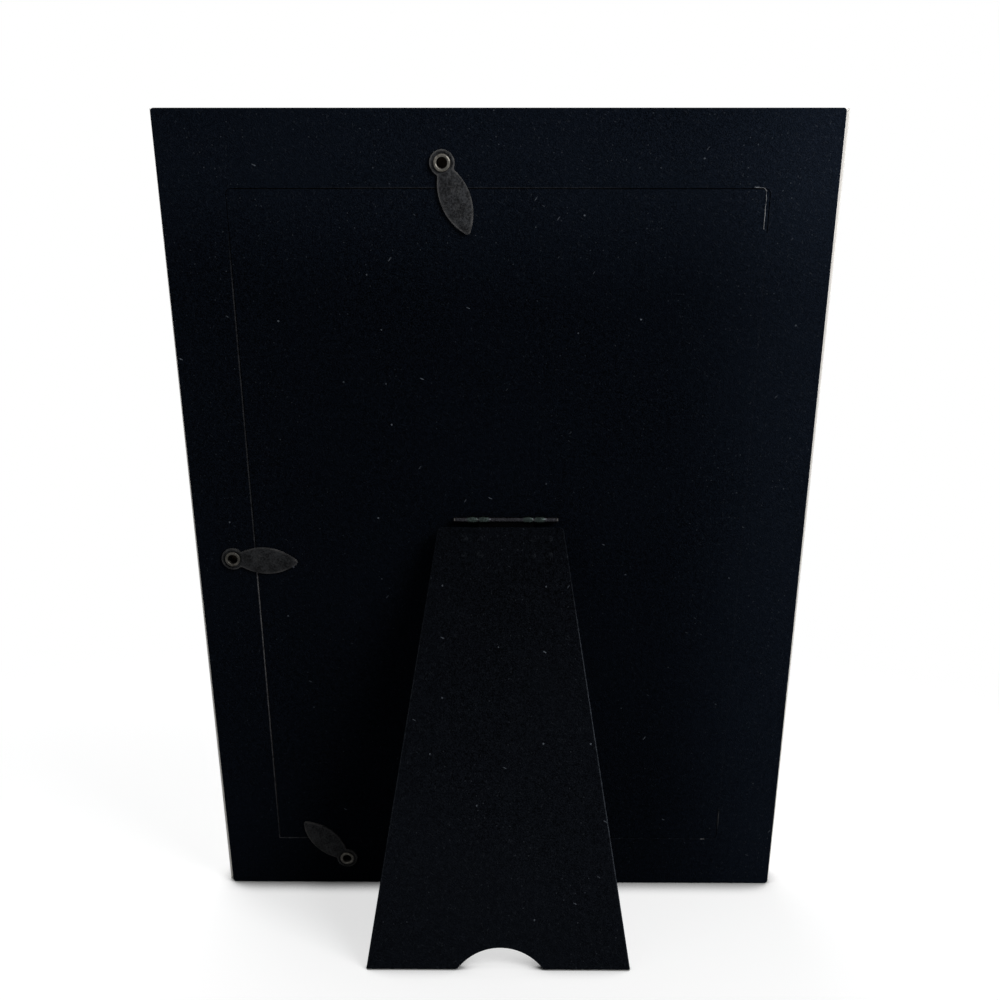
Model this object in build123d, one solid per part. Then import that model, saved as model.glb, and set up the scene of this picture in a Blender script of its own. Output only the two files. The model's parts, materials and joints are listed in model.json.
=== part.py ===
from build123d import *
import math
import os

# Easel-back picture frame, standing on a table with its leg out.
# Every piece is drawn in the panel's own frame: X across, Y out of the back and
# Z up along the panel, with Y = 0 on the back face of the moulding and Z = 0 on
# its bottom edge. At the end the panel is leaned back and set on the floor.

# Stance, in degrees
lean = 14.0
leg_spread = 23.3

# Moulding, in millimetres
pocket_width = 127.8
pocket_height = 180.8
rail_wall = 18.1
rail_depth = 12.0
lip_width = 6.0
lip_edge = 2.6
bevel_run = 9.0
front_round = 1.6
bevel_round = 1.2
lip_round = 0.6
back_ease = 0.3

# V-nails in the mitres
nail_leg = 6.0
nail_sheet = 0.5
nail_depth = 6.5
nail_sink = 0.3
nail_inset = 8.0

# Glass, insert and filler in the pocket
glass_thickness = 2.0
insert_thickness = 0.3
filler_thickness = 2.0
leaf_room = 0.3
pocket_clearance = 0.2

# Back board, its flocked cover and its door
board_thickness = 2.0
flock_thickness = 0.4
flock_round = 0.25
seam_round = 0.08
board_inset_sides = 1.2
board_inset_top = 0.0
board_inset_bottom = 0.8
board_shift = 0.05
board_skew = 0.55
board_corner = 0.8
door_ledge = 0.75
door_shift = 0.4
door_drop = 0.5
door_corner = 1.2
seam_gap = 0.2
seam_return = 10.0

# Turn buttons and their eyelets
button_reach = 17.65
button_head = 6.0
button_belly = 7.4
button_belly_at = 8.5
button_root = 3.0
button_root_at = 1.4
button_tip_round = 0.8
button_neck_round = 0.6
button_sheet = 0.5
button_edge_round = 0.15
button_lift = 0.2
groove_width = 0.35
groove_depth = 0.2
eyelet_bore = 2.4
eyelet_wall = 0.3
eyelet_flange = 4.2
eyelet_curl = 0.45
eyelet_clinch = 4.6
eyelet_clinch_thickness = 0.35
eyelet_play = 0.1
eyelet_hole_clearance = 0.05
turning_clearance = 0.08

# Where the eyelets sit beside the door, and which way each leaf points, in degrees from +X
top_button_x = 13.5
top_button_off_door = 5.85
top_button_angle = -110.6
side_button_height = 105.4
side_button_off_door = 6.35
side_button_angle = -176.9
bottom_button_from_side = 19.55
bottom_button_off_door = 7.05
bottom_button_angle = 46.0

# Leg hinge
hinge_height = 117.0
hinge_offset = -1.8
leg_clearance = 0.25
barrel_length = 26.6
outer_knuckle = 5.9
knuckle_gap = 0.2
knuckle_bulge = 0.3
knuckle_bulge_end = 0.1
knuckle_bulge_run = 3.2
hinge_sheet = 0.35
pin_diameter = 0.75
pin_clearance = 0.05
pin_head = 1.2
pin_head_thickness = 0.3
pin_head_gap = 0.05
leaf_margin = 0.8
leaf_tail = 2.6
leaf_clearance = 0.1
prong_inset = 4.3
prong_pitch = 4.2
prong_from_axis = 7.2
prong_base = 1.2
prong_tip = 0.4
prong_cover = 0.2
prong_clearance = 0.05
window_diameter = 4.0

# Leg
leg_board_thickness = 2.0
lining_thickness = 0.3
lining_margin = 1.2
leg_top_width = 32.8
leg_top_shift = -0.4
leg_foot_width = 66.6
leg_top_below_axis = 2.1
leg_corner = 1.2
notch_radius = 14.0
notch_depth = 5.15
notch_offset = -0.55
bump_height = 0.15
bump_base = 1.5
bump_top = 0.7

# Values worked out from the driving dimensions
moulding_width = pocket_width + 2 * rail_wall
moulding_height = pocket_height + 2 * rail_wall
middle_height = moulding_height / 2
rail_width = rail_wall + lip_width
pocket_depth = glass_thickness + insert_thickness + filler_thickness + leaf_room + hinge_sheet

board_width = moulding_width - 2 * board_inset_sides
board_height = moulding_height - board_inset_top - board_inset_bottom
board_middle = board_inset_bottom + board_height / 2
door_width = pocket_width + 2 * door_ledge
door_height = pocket_height + 2 * door_ledge
door_middle = middle_height - door_drop
flock_face = board_thickness + flock_thickness

eyelet_radius = eyelet_bore / 2 + eyelet_wall
clinch_recess = eyelet_clinch_thickness + eyelet_play
button_face = flock_face + button_lift
flange_seat = button_face + button_sheet - groove_depth + eyelet_play
door_top = door_middle + door_height / 2
door_bottom = door_middle - door_height / 2
door_side = door_shift + door_width / 2
button_places = {
    "top": (top_button_x, door_top + top_button_off_door, top_button_angle),
    "side": (door_side + side_button_off_door, side_button_height, side_button_angle),
    "bottom": (door_side - bottom_button_from_side, door_bottom - bottom_button_off_door,
               bottom_button_angle),
}

knuckle_bore = pin_diameter / 2 + pin_clearance
knuckle_radius = knuckle_bore + hinge_sheet
middle_knuckle = barrel_length - 2 * outer_knuckle - 2 * knuckle_gap
prong_spread = barrel_length - 2 * prong_inset
leaf_length = prong_from_axis + prong_pitch / 2 + prong_base / 2 + leaf_tail
leg_leaf_width = prong_spread + prong_pitch + prong_base + 2 * leaf_margin

# The folded leg clears a button turned in under it. Its inner face is flush with its
# hinge leaf, and its foot reaches the floor that the moulding's back edge stands on.
axis_depth = button_face + button_sheet + leg_clearance + knuckle_radius
leg_inner_face = -knuckle_radius
leg_board_face = leg_inner_face + lining_thickness
leg_flock_face = leg_board_face + leg_board_thickness
leg_slope = math.radians(leg_spread - lean)
axis_above_floor = (hinge_height * math.cos(math.radians(lean))
                    - (axis_depth + back_ease) * math.sin(math.radians(lean)))
leg_length = (axis_above_floor + leg_board_face * math.sin(leg_slope)) / math.cos(leg_slope)


def back_plane(x, y, z):
    """Sketch plane parallel to the back, its own x along +X and its own y along +Z."""
    return Plane(origin=(x, y, z), x_dir=(1, 0, 0), z_dir=(0, -1, 0))


def slab(width, height, thickness, x, y, z):
    """Flat sheet centred on x and z, from y outwards."""
    return Pos(x, y + thickness / 2, z) * Box(width, thickness, height)


def rounded_slab(width, height, corner, thickness, x, y, z):
    """Flat sheet with rounded corners, centred on x and z, from y outwards."""
    return extrude(back_plane(x, y, z) * RectangleRounded(width, height, corner), amount=-thickness)


def disc(diameter, thickness, x, y, z):
    """Round plug along the panel's normal, from y outwards."""
    return Pos(x, y + thickness / 2, z) * Rot(90, 0, 0) * Cylinder(diameter / 2, thickness)


def spike(base, tip, height, x, y, z):
    """Tapered round point along the panel's normal, from y outwards."""
    return Pos(x, y + height / 2, z) * Rot(-90, 0, 0) * Cone(base / 2, tip / 2, height)


def rail(length):
    """Mitred rail along X, its outer edge on Z = 0 and its back on Y = 0."""
    lip_front = -pocket_depth - lip_edge
    profile = make_face(Polyline(
        (0, 0), (0, -rail_depth), (rail_width - bevel_run, -rail_depth), (rail_width, lip_front),
        (rail_width, -pocket_depth), (rail_wall, -pocket_depth), (rail_wall, 0), close=True))
    profile = chamfer(profile.vertices().group_by(Axis.X)[0].sort_by(Axis.Y)[-1], back_ease)
    profile = fillet(profile.vertices().group_by(Axis.X)[-1].sort_by(Axis.Y)[0], lip_round)
    profile = fillet(profile.vertices().group_by(Axis.Y)[0].sort_by(Axis.X)[-1], bevel_round)
    profile = fillet(profile.vertices().group_by(Axis.Y)[0].sort_by(Axis.X)[0], front_round)
    section_plane = Plane(origin=(length / 2, 0, 0), x_dir=(0, 0, 1), z_dir=(-1, 0, 0))
    bar = extrude(section_plane * profile, amount=length)
    half = length / 2
    mitres = Polyline(
        (-half, 0), (half, 0), (half - rail_width, rail_width), (rail_width - half, rail_width),
        close=True)
    return bar & extrude(back_plane(0, 0, 0) * make_face(mitres), amount=rail_depth)


def corner_nail(side_x, side_z, depth, y):
    """V-nail astride one mitre, from y outwards, with a leg along each rail that it holds."""
    x = side_x * (moulding_width / 2 - nail_inset)
    z = middle_height + side_z * (middle_height - nail_inset)
    across = slab(nail_leg, nail_sheet, depth, x - side_x * nail_leg / 2, y, z - side_z * nail_sheet / 2)
    upright = slab(nail_sheet, nail_leg, depth, x - side_x * nail_sheet / 2, y, z - side_z * nail_leg / 2)
    return across + upright


def moulding():
    """Four mitred rails, slotted where the V-nails go in, and the V-nails."""
    across = rail(moulding_width)
    upright = rail(moulding_height)
    half = moulding_width / 2
    pieces = {
        "moulding_bottom": across,
        "moulding_top": Pos(0, 0, moulding_height) * Rot(0, 180, 0) * across,
        "moulding_left": Pos(-half, 0, middle_height) * Rot(0, 90, 0) * upright,
        "moulding_right": Pos(half, 0, middle_height) * Rot(0, -90, 0) * upright,
    }
    corners = [(side_x, side_z) for side_x in (-1, 1) for side_z in (-1, 1)]
    nail_bottom = -nail_sink - nail_depth
    for corner in corners:
        slot = corner_nail(*corner, nail_depth + nail_sink, nail_bottom)
        pieces = {name: bar - slot for name, bar in pieces.items()}
    pieces["corner_nails"] = Compound([corner_nail(*corner, nail_depth, nail_bottom) for corner in corners])
    return pieces


def pocket_stack():
    """Glass, print insert and filler card, laid in the pocket from the lip backwards."""
    width = pocket_width - 2 * pocket_clearance
    height = pocket_height - 2 * pocket_clearance
    layers = {
        "glass_pane": glass_thickness,
        "photo_insert": insert_thickness,
        "filler_card": filler_thickness,
    }
    front = -pocket_depth
    pieces = {}
    for name, thickness in layers.items():
        pieces[name] = slab(width, height, thickness, 0, front, middle_height)
        front += thickness
    return pieces


def door_opening(thickness, y):
    """Door outline with the seam round it."""
    return rounded_slab(
        door_width + 2 * seam_gap, door_height + 2 * seam_gap, door_corner + seam_gap,
        thickness, door_shift, y, door_middle)


def door_outline(thickness, y):
    """Sheet with the door's outline, from y outwards."""
    return rounded_slab(door_width, door_height, door_corner, thickness, door_shift, y, door_middle)


def board_outline(thickness, y):
    """Sheet with the outline of rim and door together, cut a little out of square, from y outwards."""
    half = board_width / 2
    rise = board_height / 2
    lean_over = board_skew / 2
    outline = make_face(Polyline(
        (-half - lean_over, -rise), (half - lean_over, -rise), (half + lean_over, rise),
        (lean_over - half, rise), close=True))
    outline = fillet(outline.vertices(), board_corner)
    return extrude(back_plane(board_shift, y, board_middle) * outline, amount=-thickness)


def leaf_slots():
    """Two slots in the door, where the hinge leaf comes through to its outer knuckles."""
    height = hinge_sheet + 2 * leaf_clearance
    z = hinge_height - knuckle_bore - hinge_sheet / 2
    reach = (barrel_length - outer_knuckle) / 2
    return [slab(outer_knuckle + 2 * leaf_clearance, height, flock_face, hinge_offset + side * reach, 0, z)
            for side in (-1, 1)]


def prong_spots(z):
    """Places of the prongs: two square groups of four, centred on z."""
    step = prong_pitch / 2
    return [(hinge_offset + side * prong_spread / 2 + dx, z + dz)
            for side in (-1, 1) for dx in (-step, step) for dz in (-step, step)]


def prongs(length, y, z, clearance=0):
    """Prongs of one leaf, from y outwards, or the holes that they drive with some clearance."""
    return [spike(prong_base + 2 * clearance, prong_tip + 2 * clearance, length, spot_x, y, spot_z)
            for spot_x, spot_z in prong_spots(z)]


def windows(y, z):
    """Round holes punched in a leaf between the prongs of each group."""
    return [disc(window_diameter, hinge_sheet, hinge_offset + side * prong_spread / 2, y, z)
            for side in (-1, 1)]


def back_boards():
    """Rim, door and the flocked cover, which is left uncut along the door's hinged edge."""
    rim = board_outline(board_thickness, 0) - door_opening(board_thickness, 0)
    cover = board_outline(flock_thickness, board_thickness)
    for x, z, _ in button_places.values():
        hole = disc(2 * (eyelet_radius + eyelet_hole_clearance), flock_face, x, 0, z)
        rim -= hole
        rim -= disc(eyelet_clinch + 2 * eyelet_play, clinch_recess, x, 0, z)
        cover -= hole

    seam = door_opening(flock_thickness, board_thickness) - door_outline(flock_thickness, board_thickness)
    hinged_edge = door_shift - door_width / 2 - seam_gap
    seam -= slab(2 * door_corner, door_height - 2 * seam_return, flock_thickness,
                 hinged_edge, board_thickness, door_middle)
    cover -= seam
    face = cover.faces().sort_by(Axis.Y)[-1]
    cover = fillet(face.outer_wire().edges(), flock_round)
    face = cover.faces().sort_by(Axis.Y)[-1]
    seam_wire = face.inner_wires().sort_by(SortBy.LENGTH)[-1]
    cover = fillet(seam_wire.edges(), seam_round)

    door = door_outline(board_thickness, 0)
    for slot in leaf_slots():
        door -= slot
        cover -= slot
    for hole in prongs(board_thickness - prong_cover, 0, hinge_height + prong_from_axis, prong_clearance):
        door -= hole
    return {"rim_board": rim, "door_board": door, "back_flock": cover}


def eyelet(x, z):
    """Rolled eyelet: a bore, a curled flange over the button and a clinch inside the rim."""
    bore = eyelet_bore / 2
    flange = eyelet_flange / 2
    clinch = eyelet_clinch / 2
    body = Polyline(
        (bore, flange_seat), (bore, eyelet_play), (clinch, eyelet_play), (clinch, clinch_recess),
        (eyelet_radius, clinch_recess), (eyelet_radius, flange_seat), (flange, flange_seat))
    curl = ThreePointArc(
        (flange, flange_seat), ((bore + flange) / 2, flange_seat + eyelet_curl), (bore, flange_seat))
    return Pos(x, 0, z) * revolve(make_face([body, curl]), Axis.Y)


def turn_button(x, z, angle):
    """Leaf-shaped plate that turns on its eyelet, with a groove round the eyelet's flange."""
    root = (button_root_at, button_root / 2)
    belly = (button_belly_at, button_belly / 2)
    tip = (button_reach, 0)
    upper = ThreePointArc(root, belly, tip)
    lower = ThreePointArc(tip, (belly[0], -belly[1]), (root[0], -root[1]))
    leaf = make_face([upper, lower, Line((root[0], -root[1]), root)])
    leaf = fillet(leaf.vertices().sort_by(Axis.X)[-1], button_tip_round)
    outline = Circle(button_head / 2) + leaf
    necks = outline.vertices().sort_by(Axis.X)[:2]
    outline = fillet(necks, button_neck_round)
    plate = extrude(outline, amount=button_sheet)
    plate = fillet(plate.faces().sort_by(Axis.Z)[-1].edges(), button_edge_round)
    plate -= Cylinder(eyelet_radius + turning_clearance, 4 * button_sheet)
    groove = Cylinder(eyelet_flange / 2 + groove_width, 2 * groove_depth)
    plate -= Pos(0, 0, button_sheet) * groove
    turn = math.radians(angle)
    seat = Plane(origin=(x, button_face, z), x_dir=(math.cos(turn), 0, math.sin(turn)), z_dir=(0, 1, 0))
    return seat * plate


def turn_buttons():
    """The three turn buttons, each on its eyelet."""
    pieces = {}
    for name, (x, z, angle) in button_places.items():
        pieces["eyelet_" + name] = eyelet(x, z)
        pieces["turn_button_" + name] = turn_button(x, z, angle)
    return pieces


def knuckle(start, end, bulge_at_start):
    """Rolled knuckle about the X axis, swelling where it meets the next one at its end."""
    towards_end = 1 if end > start else -1
    swell_foot = end - towards_end * knuckle_bulge_run
    swell_top = end - towards_end * knuckle_bulge_run / 2
    rim = knuckle_radius + knuckle_bulge_end
    crown = knuckle_radius + knuckle_bulge
    path = [Line((end, rim), (end, knuckle_bore)), Line((end, knuckle_bore), (start, knuckle_bore))]
    if bulge_at_start:
        near_foot = start + towards_end * knuckle_bulge_run
        near_top = start + towards_end * knuckle_bulge_run / 2
        path += [
            Line((start, knuckle_bore), (start, rim)),
            ThreePointArc((start, rim), (near_top, crown), (near_foot, knuckle_radius)),
            Line((near_foot, knuckle_radius), (swell_foot, knuckle_radius)),
        ]
    else:
        path += [
            Line((start, knuckle_bore), (start, knuckle_radius)),
            Line((start, knuckle_radius), (swell_foot, knuckle_radius)),
        ]
    path.append(ThreePointArc((swell_foot, knuckle_radius), (swell_top, crown), (end, rim)))
    return Pos(hinge_offset, 0, 0) * revolve(make_face(path), Axis.X)


def hinge_door_leaf():
    """Leaf on the door's inner face, drawn about the pin's axis, with the two outer knuckles."""
    inner_face = -axis_depth
    plate_height = leaf_length + knuckle_radius
    leaf = slab(barrel_length, plate_height, hinge_sheet, hinge_offset, inner_face - hinge_sheet,
                leaf_length - plate_height / 2)
    for window in windows(inner_face - hinge_sheet, prong_from_axis):
        leaf -= window
    tongue = axis_depth + hinge_sheet
    for side in (-1, 1):
        outer_end = side * barrel_length / 2
        inner_end = outer_end - side * outer_knuckle
        leaf += slab(outer_knuckle, hinge_sheet, tongue, hinge_offset + (outer_end + inner_end) / 2,
                     -tongue, -knuckle_bore - hinge_sheet / 2)
        leaf += knuckle(outer_end, inner_end, False)
    for prong in prongs(board_thickness - prong_cover, inner_face, prong_from_axis):
        leaf += prong
    return leaf


def hinge_leg_leaf():
    """Leaf in the leg's inner face, drawn about the pin's axis with the leg hanging straight down."""
    plate_height = leaf_length - leg_top_below_axis
    leaf = slab(leg_leaf_width, plate_height, hinge_sheet, hinge_offset, leg_inner_face,
                -leg_top_below_axis - plate_height / 2)
    leaf += slab(middle_knuckle, leaf_length / 2, hinge_sheet, hinge_offset, leg_inner_face,
                 -leaf_length / 4)
    for window in windows(leg_inner_face, -prong_from_axis):
        leaf -= window
    leaf += knuckle(-middle_knuckle / 2, middle_knuckle / 2, True)
    for prong in prongs(leg_flock_face + knuckle_bore, -knuckle_bore, -prong_from_axis):
        leaf += prong
    return leaf


def hinge_pin():
    """Pin with a head at each end of the barrel."""
    half = barrel_length / 2 + pin_head_gap
    pin = Rot(0, 90, 0) * Cylinder(pin_diameter / 2, 2 * half)
    for side in (-1, 1):
        head = Rot(0, 90, 0) * Cylinder(pin_head / 2, pin_head_thickness)
        pin += Pos(side * (half + pin_head_thickness / 2), 0, 0) * head
    return Pos(hinge_offset, 0, 0) * pin


def leg_sheet(thickness, y, margin=0):
    """Sheet with the leg's outline, hanging from the pin's axis, with the finger notch in its foot."""
    top = -leg_top_below_axis
    outline = make_face(Polyline(
        (-leg_foot_width / 2, -leg_length), (leg_foot_width / 2, -leg_length),
        (leg_top_shift + leg_top_width / 2, top), (leg_top_shift - leg_top_width / 2, top), close=True))
    outline = fillet(outline.vertices().group_by(Axis.Y)[-1], leg_corner)
    notch_centre = -leg_length - notch_radius + notch_depth
    outline -= Pos(notch_offset, notch_centre) * Circle(notch_radius)
    if margin:
        outline = offset(outline, -margin, kind=Kind.INTERSECTION)
    return extrude(back_plane(0, y, 0) * outline, amount=-thickness)


def leg():
    """Leg board, its flocked outer face and its lining, with room for the hinge leaf and its prongs."""
    board = leg_sheet(leg_board_thickness, leg_board_face)
    lining = leg_sheet(lining_thickness, leg_inner_face, lining_margin)
    flock = leg_sheet(flock_thickness, leg_flock_face)
    flock = fillet(flock.faces().sort_by(Axis.Y)[-1].outer_wire().edges(), flock_round)

    leaf_height = leaf_length - leg_top_below_axis + leaf_clearance
    leaf_pocket = slab(leg_leaf_width + 2 * leaf_clearance, leaf_height, hinge_sheet, hinge_offset,
                       leg_inner_face, -leg_top_below_axis - leaf_height / 2)
    board -= leaf_pocket
    lining -= leaf_pocket
    for hole in prongs(leg_flock_face + knuckle_bore, -knuckle_bore, -prong_from_axis, prong_clearance):
        board -= hole
    for x, z in prong_spots(-prong_from_axis):
        flock += spike(bump_base, bump_top, bump_height, x, leg_flock_face + flock_thickness, z)
    return {"leg_board": board, "leg_lining": lining, "leg_flock": flock}


pieces = {**moulding(), **pocket_stack(), **back_boards(), **turn_buttons()}

pin_axis = Pos(0, axis_depth, hinge_height)
pieces["hinge_door_leaf"] = pin_axis * hinge_door_leaf()
pieces["hinge_pin"] = pin_axis * hinge_pin()
for name, piece in {**leg(), "hinge_leg_leaf": hinge_leg_leaf()}.items():
    pieces[name] = pin_axis * Rot(leg_spread, 0, 0) * piece

leaned = {name: Rot(-lean, 0, 0) * piece for name, piece in pieces.items()}
box = Compound(list(leaned.values())).bounding_box()
stand = Pos(-box.center().X, -box.center().Y, -box.min.Z)

os.makedirs("parts", exist_ok=True)
for name, piece in leaned.items():
    export_step(stand * piece, f"parts/{name}.step")

# Joint places and the panel's normal in the finished frame
stance = stand * Rot(-lean, 0, 0)
print("panel normal", (stance * Pos(0, 1, 0)).position - stance.position)
print("leg pin", (stance * Pos(0, axis_depth, hinge_height)).position)
print("bottom face", (stance * Pos(0, -rail_depth / 2, 0)).position)
for name, (x, z, _) in button_places.items():
    print(name, "eyelet", (stance * Pos(x, button_face, z)).position)
print("leg length", round(leg_length, 2), "size", box.size)
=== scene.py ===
import json
import math

import bpy
from bpy.props import FloatProperty, FloatVectorProperty, IntProperty, PointerProperty
from bpy.types import Operator, Panel, PropertyGroup
from mathutils import Matrix, Vector


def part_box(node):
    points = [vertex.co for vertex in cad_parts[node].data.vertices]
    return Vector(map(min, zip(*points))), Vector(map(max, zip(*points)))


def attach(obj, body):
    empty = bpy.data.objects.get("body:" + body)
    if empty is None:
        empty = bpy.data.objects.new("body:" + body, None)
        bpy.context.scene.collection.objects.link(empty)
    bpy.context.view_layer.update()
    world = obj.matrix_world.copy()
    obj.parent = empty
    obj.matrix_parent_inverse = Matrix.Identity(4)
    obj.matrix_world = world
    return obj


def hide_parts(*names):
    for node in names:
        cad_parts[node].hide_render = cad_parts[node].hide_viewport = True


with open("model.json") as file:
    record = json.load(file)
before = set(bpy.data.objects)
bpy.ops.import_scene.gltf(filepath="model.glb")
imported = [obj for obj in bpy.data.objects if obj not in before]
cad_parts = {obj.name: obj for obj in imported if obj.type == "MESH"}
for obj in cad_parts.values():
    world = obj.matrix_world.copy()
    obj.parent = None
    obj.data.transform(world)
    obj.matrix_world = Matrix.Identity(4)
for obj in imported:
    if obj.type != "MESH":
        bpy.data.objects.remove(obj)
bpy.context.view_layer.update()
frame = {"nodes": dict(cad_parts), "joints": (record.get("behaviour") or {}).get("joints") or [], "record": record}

bl_info = {
    "name": "Easel-back picture frame",
    "version": (1, 0, 0),
    "blender": (4, 5, 0),
    "location": "View3D > Sidebar > Picture frame",
    "description": "Finishes and details of a tabletop picture frame with a folding leg",
    "category": "Object",
}

MM = 0.001

# The panel's own frame: x across, y out of the back and z up from the moulding's bottom edge
JOINTS = {joint["name"]: joint for joint in frame["joints"]}
PANEL_NORMAL = Vector(JOINTS["top_button_turn"]["axis"])
LEAN = math.atan2(-PANEL_NORMAL.z, PANEL_NORMAL.y)
RAIL_DEPTH = 12.0 * MM
BOTTOM_FACE = Vector(frame["record"]["mounts"][0]["pos_m"])
PANEL_ORIGIN = BOTTOM_FACE + PANEL_NORMAL * RAIL_DEPTH / 2
PANEL_TO_ROW = Matrix.Translation(PANEL_ORIGIN) @ Matrix.Rotation(-LEAN, 4, "X")
MOULDING_WIDTH = 164.0 * MM
MOULDING_HEIGHT = 217.0 * MM
DOOR_MIDDLE = Vector((0.4, 108.0)) * MM
DOOR_SIZE = Vector((129.5, 182.5)) * MM

# The leg's own frame: x across, y out of its flocked face and z up, from the middle of the pin
PIN = Vector(JOINTS["leg_swing"]["pos_m"])
LEG_SLOPE = math.radians(-JOINTS["leg_swing"]["range_deg"][0]) - LEAN
LEG_TO_ROW = Matrix.Translation(PIN) @ Matrix.Rotation(LEG_SLOPE, 4, "X")
LEG_FACE = 1.925 * MM

# Height over the moulding's back at which the roll of an eyelet's flange stands clear of painted shade
EYELET_ROLL = 3.25 * MM

# Each turn button: where its leaf points, in degrees from x towards z, and its painted light: how pale its steel
# is painted for the light it gets
BUTTONS = {"top": (-110.6, 1.3), "side": (-176.9, 0.75), "bottom": (46.0, 0.8)}

# A turn button's leaf and the eye round its eyelet, from the eyelet's middle
LEAF_MIDDLE = 8.5 * MM
LEAF_HALF_LENGTH = 9.15 * MM
LEAF_HALF_WIDTH = 3.7 * MM
EYE_RADIUS = 3.0 * MM

# Heights on the panel between which the eyelets' painted shade lifts, darker towards the bottom
EYELET_SHADED_Z = 110 * MM
EYELET_UNSHADED_Z = 190 * MM

# Stretches of the slit round the door, by their place across (x) or up (z) the panel
OPENING_SIDE_X = 64 * MM
UNCUT_SIDE_X = -63 * MM
TOP_SLIT_Z = 198 * MM
FOOT_SLIT_Z = 18 * MM
SIDE_BUTTON_Z = 103 * MM
NICK_X = -60.3 * MM
NICK_REACH = 0.6 * MM

# The leg's cut sides: from its middle at the pin's height, and how fast they spread below it
LEG_RIGHT = 16.49 * MM
LEG_RIGHT_SPREAD = 0.14762
LEG_LEFT = 15.68 * MM
LEG_LEFT_SPREAD = 0.15478

# The hinge from its pin's axis: where a swell starts to show and where it is full
SWELL_START = 0.86 * MM
SWELL_FULL = 1.08 * MM

# How finely scene-made pieces are cut
INSERT_GRID = (27, 37)
ROLL_STEPS = 15
RING_STEPS = 56
DOME_CUTS = 4
STRAND_SIDES = 8
STRAND_STEP = 0.2 * MM

# The frayed core's way round the slit's corner, in millimetres across, out and up
STRAND_ROUTE = [(2.9, 0, 0.3), (0.7, 0, 0.2), (0, 0, -0.5), (0, 0, -9.2)]

# Bluish gleam of the pile seen at a slant
SHEEN = (0.55, 0.75, 1.0)

# Each lamp: its place and the length of its side, in metres
LAMPS = {
    "key": ((-0.30, 0.32, 0.34), 0.25),
    "fill": ((0.55, 0.60, 0.35), 0.5),
    "front": ((0.40, -0.80, 0.60), 1.3),
    "top": ((0.0, 0.0, 1.1), 0.8),
}
LAMP_AIM = Vector((0.0, 0.0, 0.1))
SKY_TONE = (0.95, 0.98, 1.0, 1.0)
WHITE = (1.0, 1.0, 1.0, 1.0)

# The floor: half its side, where it fades to white and how near the part its glow is held back
FLOOR_REACH = 4.0
FADE_START = 0.22
FADE_END = 0.42
CONTACT_REACH = 0.012

SENSOR_WIDTH = 36.0
CLIP_START = 0.01
CLIP_END = 20.0


class Value:
    """A node's socket. Arithmetic on it adds Math nodes to the same tree."""

    def __init__(self, tree, socket):
        self.tree = tree
        self.socket = socket

    def math(self, operation, *operands):
        return self.tree.node(
            "ShaderNodeMath", {"operation": operation}, dict(enumerate(operands)))

    def __add__(self, other):
        return self.math("ADD", self, other)

    def __sub__(self, other):
        return self.math("SUBTRACT", self, other)

    def __rsub__(self, other):
        return self.math("SUBTRACT", other, self)

    def __mul__(self, other):
        return self.math("MULTIPLY", self, other)

    def __abs__(self):
        return self.math("ABSOLUTE", self)

    def __lt__(self, other):
        return self.math("LESS_THAN", self, other)

    def __gt__(self, other):
        return self.math("GREATER_THAN", self, other)

    __radd__ = __add__

    def least(self, other):
        return self.math("MINIMUM", self, other)

    def most(self, other):
        return self.math("MAXIMUM", self, other)

    def ramp(self, low, high, to_low=0.0, to_high=1.0):
        """The value spread from low..high to to_low..to_high, with soft ends."""
        return self.tree.node(
            "ShaderNodeMapRange", {"interpolation_type": "SMOOTHSTEP"},
            {0: self, 1: low, 2: high, 3: to_low, 4: to_high})


class NodeTree:
    """A node tree and the one method that adds a node to it."""

    def __init__(self, tree):
        self.tree = tree
        self.tree.nodes.clear()

    def node(self, kind, settings=None, inputs=None, output=0):
        made = self.tree.nodes.new(kind)
        for name, setting in (settings or {}).items():
            setattr(made, name, setting)
        for key, given in (inputs or {}).items():
            for one in given if isinstance(given, list) else [given]:
                if isinstance(one, Value):
                    self.tree.links.new(one.socket, made.inputs[key])
                else:
                    made.inputs[key].default_value = one
        return Value(self, made.outputs[output]) if made.outputs else None

    def vector(self, x=0.0, y=0.0, z=0.0):
        return self.node("ShaderNodeCombineXYZ", None, {0: x, 1: y, 2: z})

    def length(self, x=0.0, y=0.0, z=0.0):
        return self.node(
            "ShaderNodeVectorMath", {"operation": "LENGTH"}, {0: self.vector(x, y, z)}, 1)

    def axes(self, vector):
        split = self.node("ShaderNodeSeparateXYZ", None, {0: vector}).socket.node
        return [Value(self, socket) for socket in split.outputs]

    def noise(self, place, scale, detail=2.0, roughness=0.5):
        return self.node("ShaderNodeTexNoise", None, {
            "Vector": place, "Scale": scale, "Detail": detail, "Roughness": roughness})

    def rays(self, *kinds):
        """1 for rays of these kinds and 0 for all others."""
        outputs = self.node("ShaderNodeLightPath").socket.node.outputs
        return sum(Value(self, outputs[kind]) for kind in kinds) > 0.5

    def backdrop_rays(self):
        """1 for rays of the camera, off mirrors or through glass, 0 for those that carry light."""
        return self.rays("Is Camera Ray", "Is Glossy Ray", "Is Transmission Ray")


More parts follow.
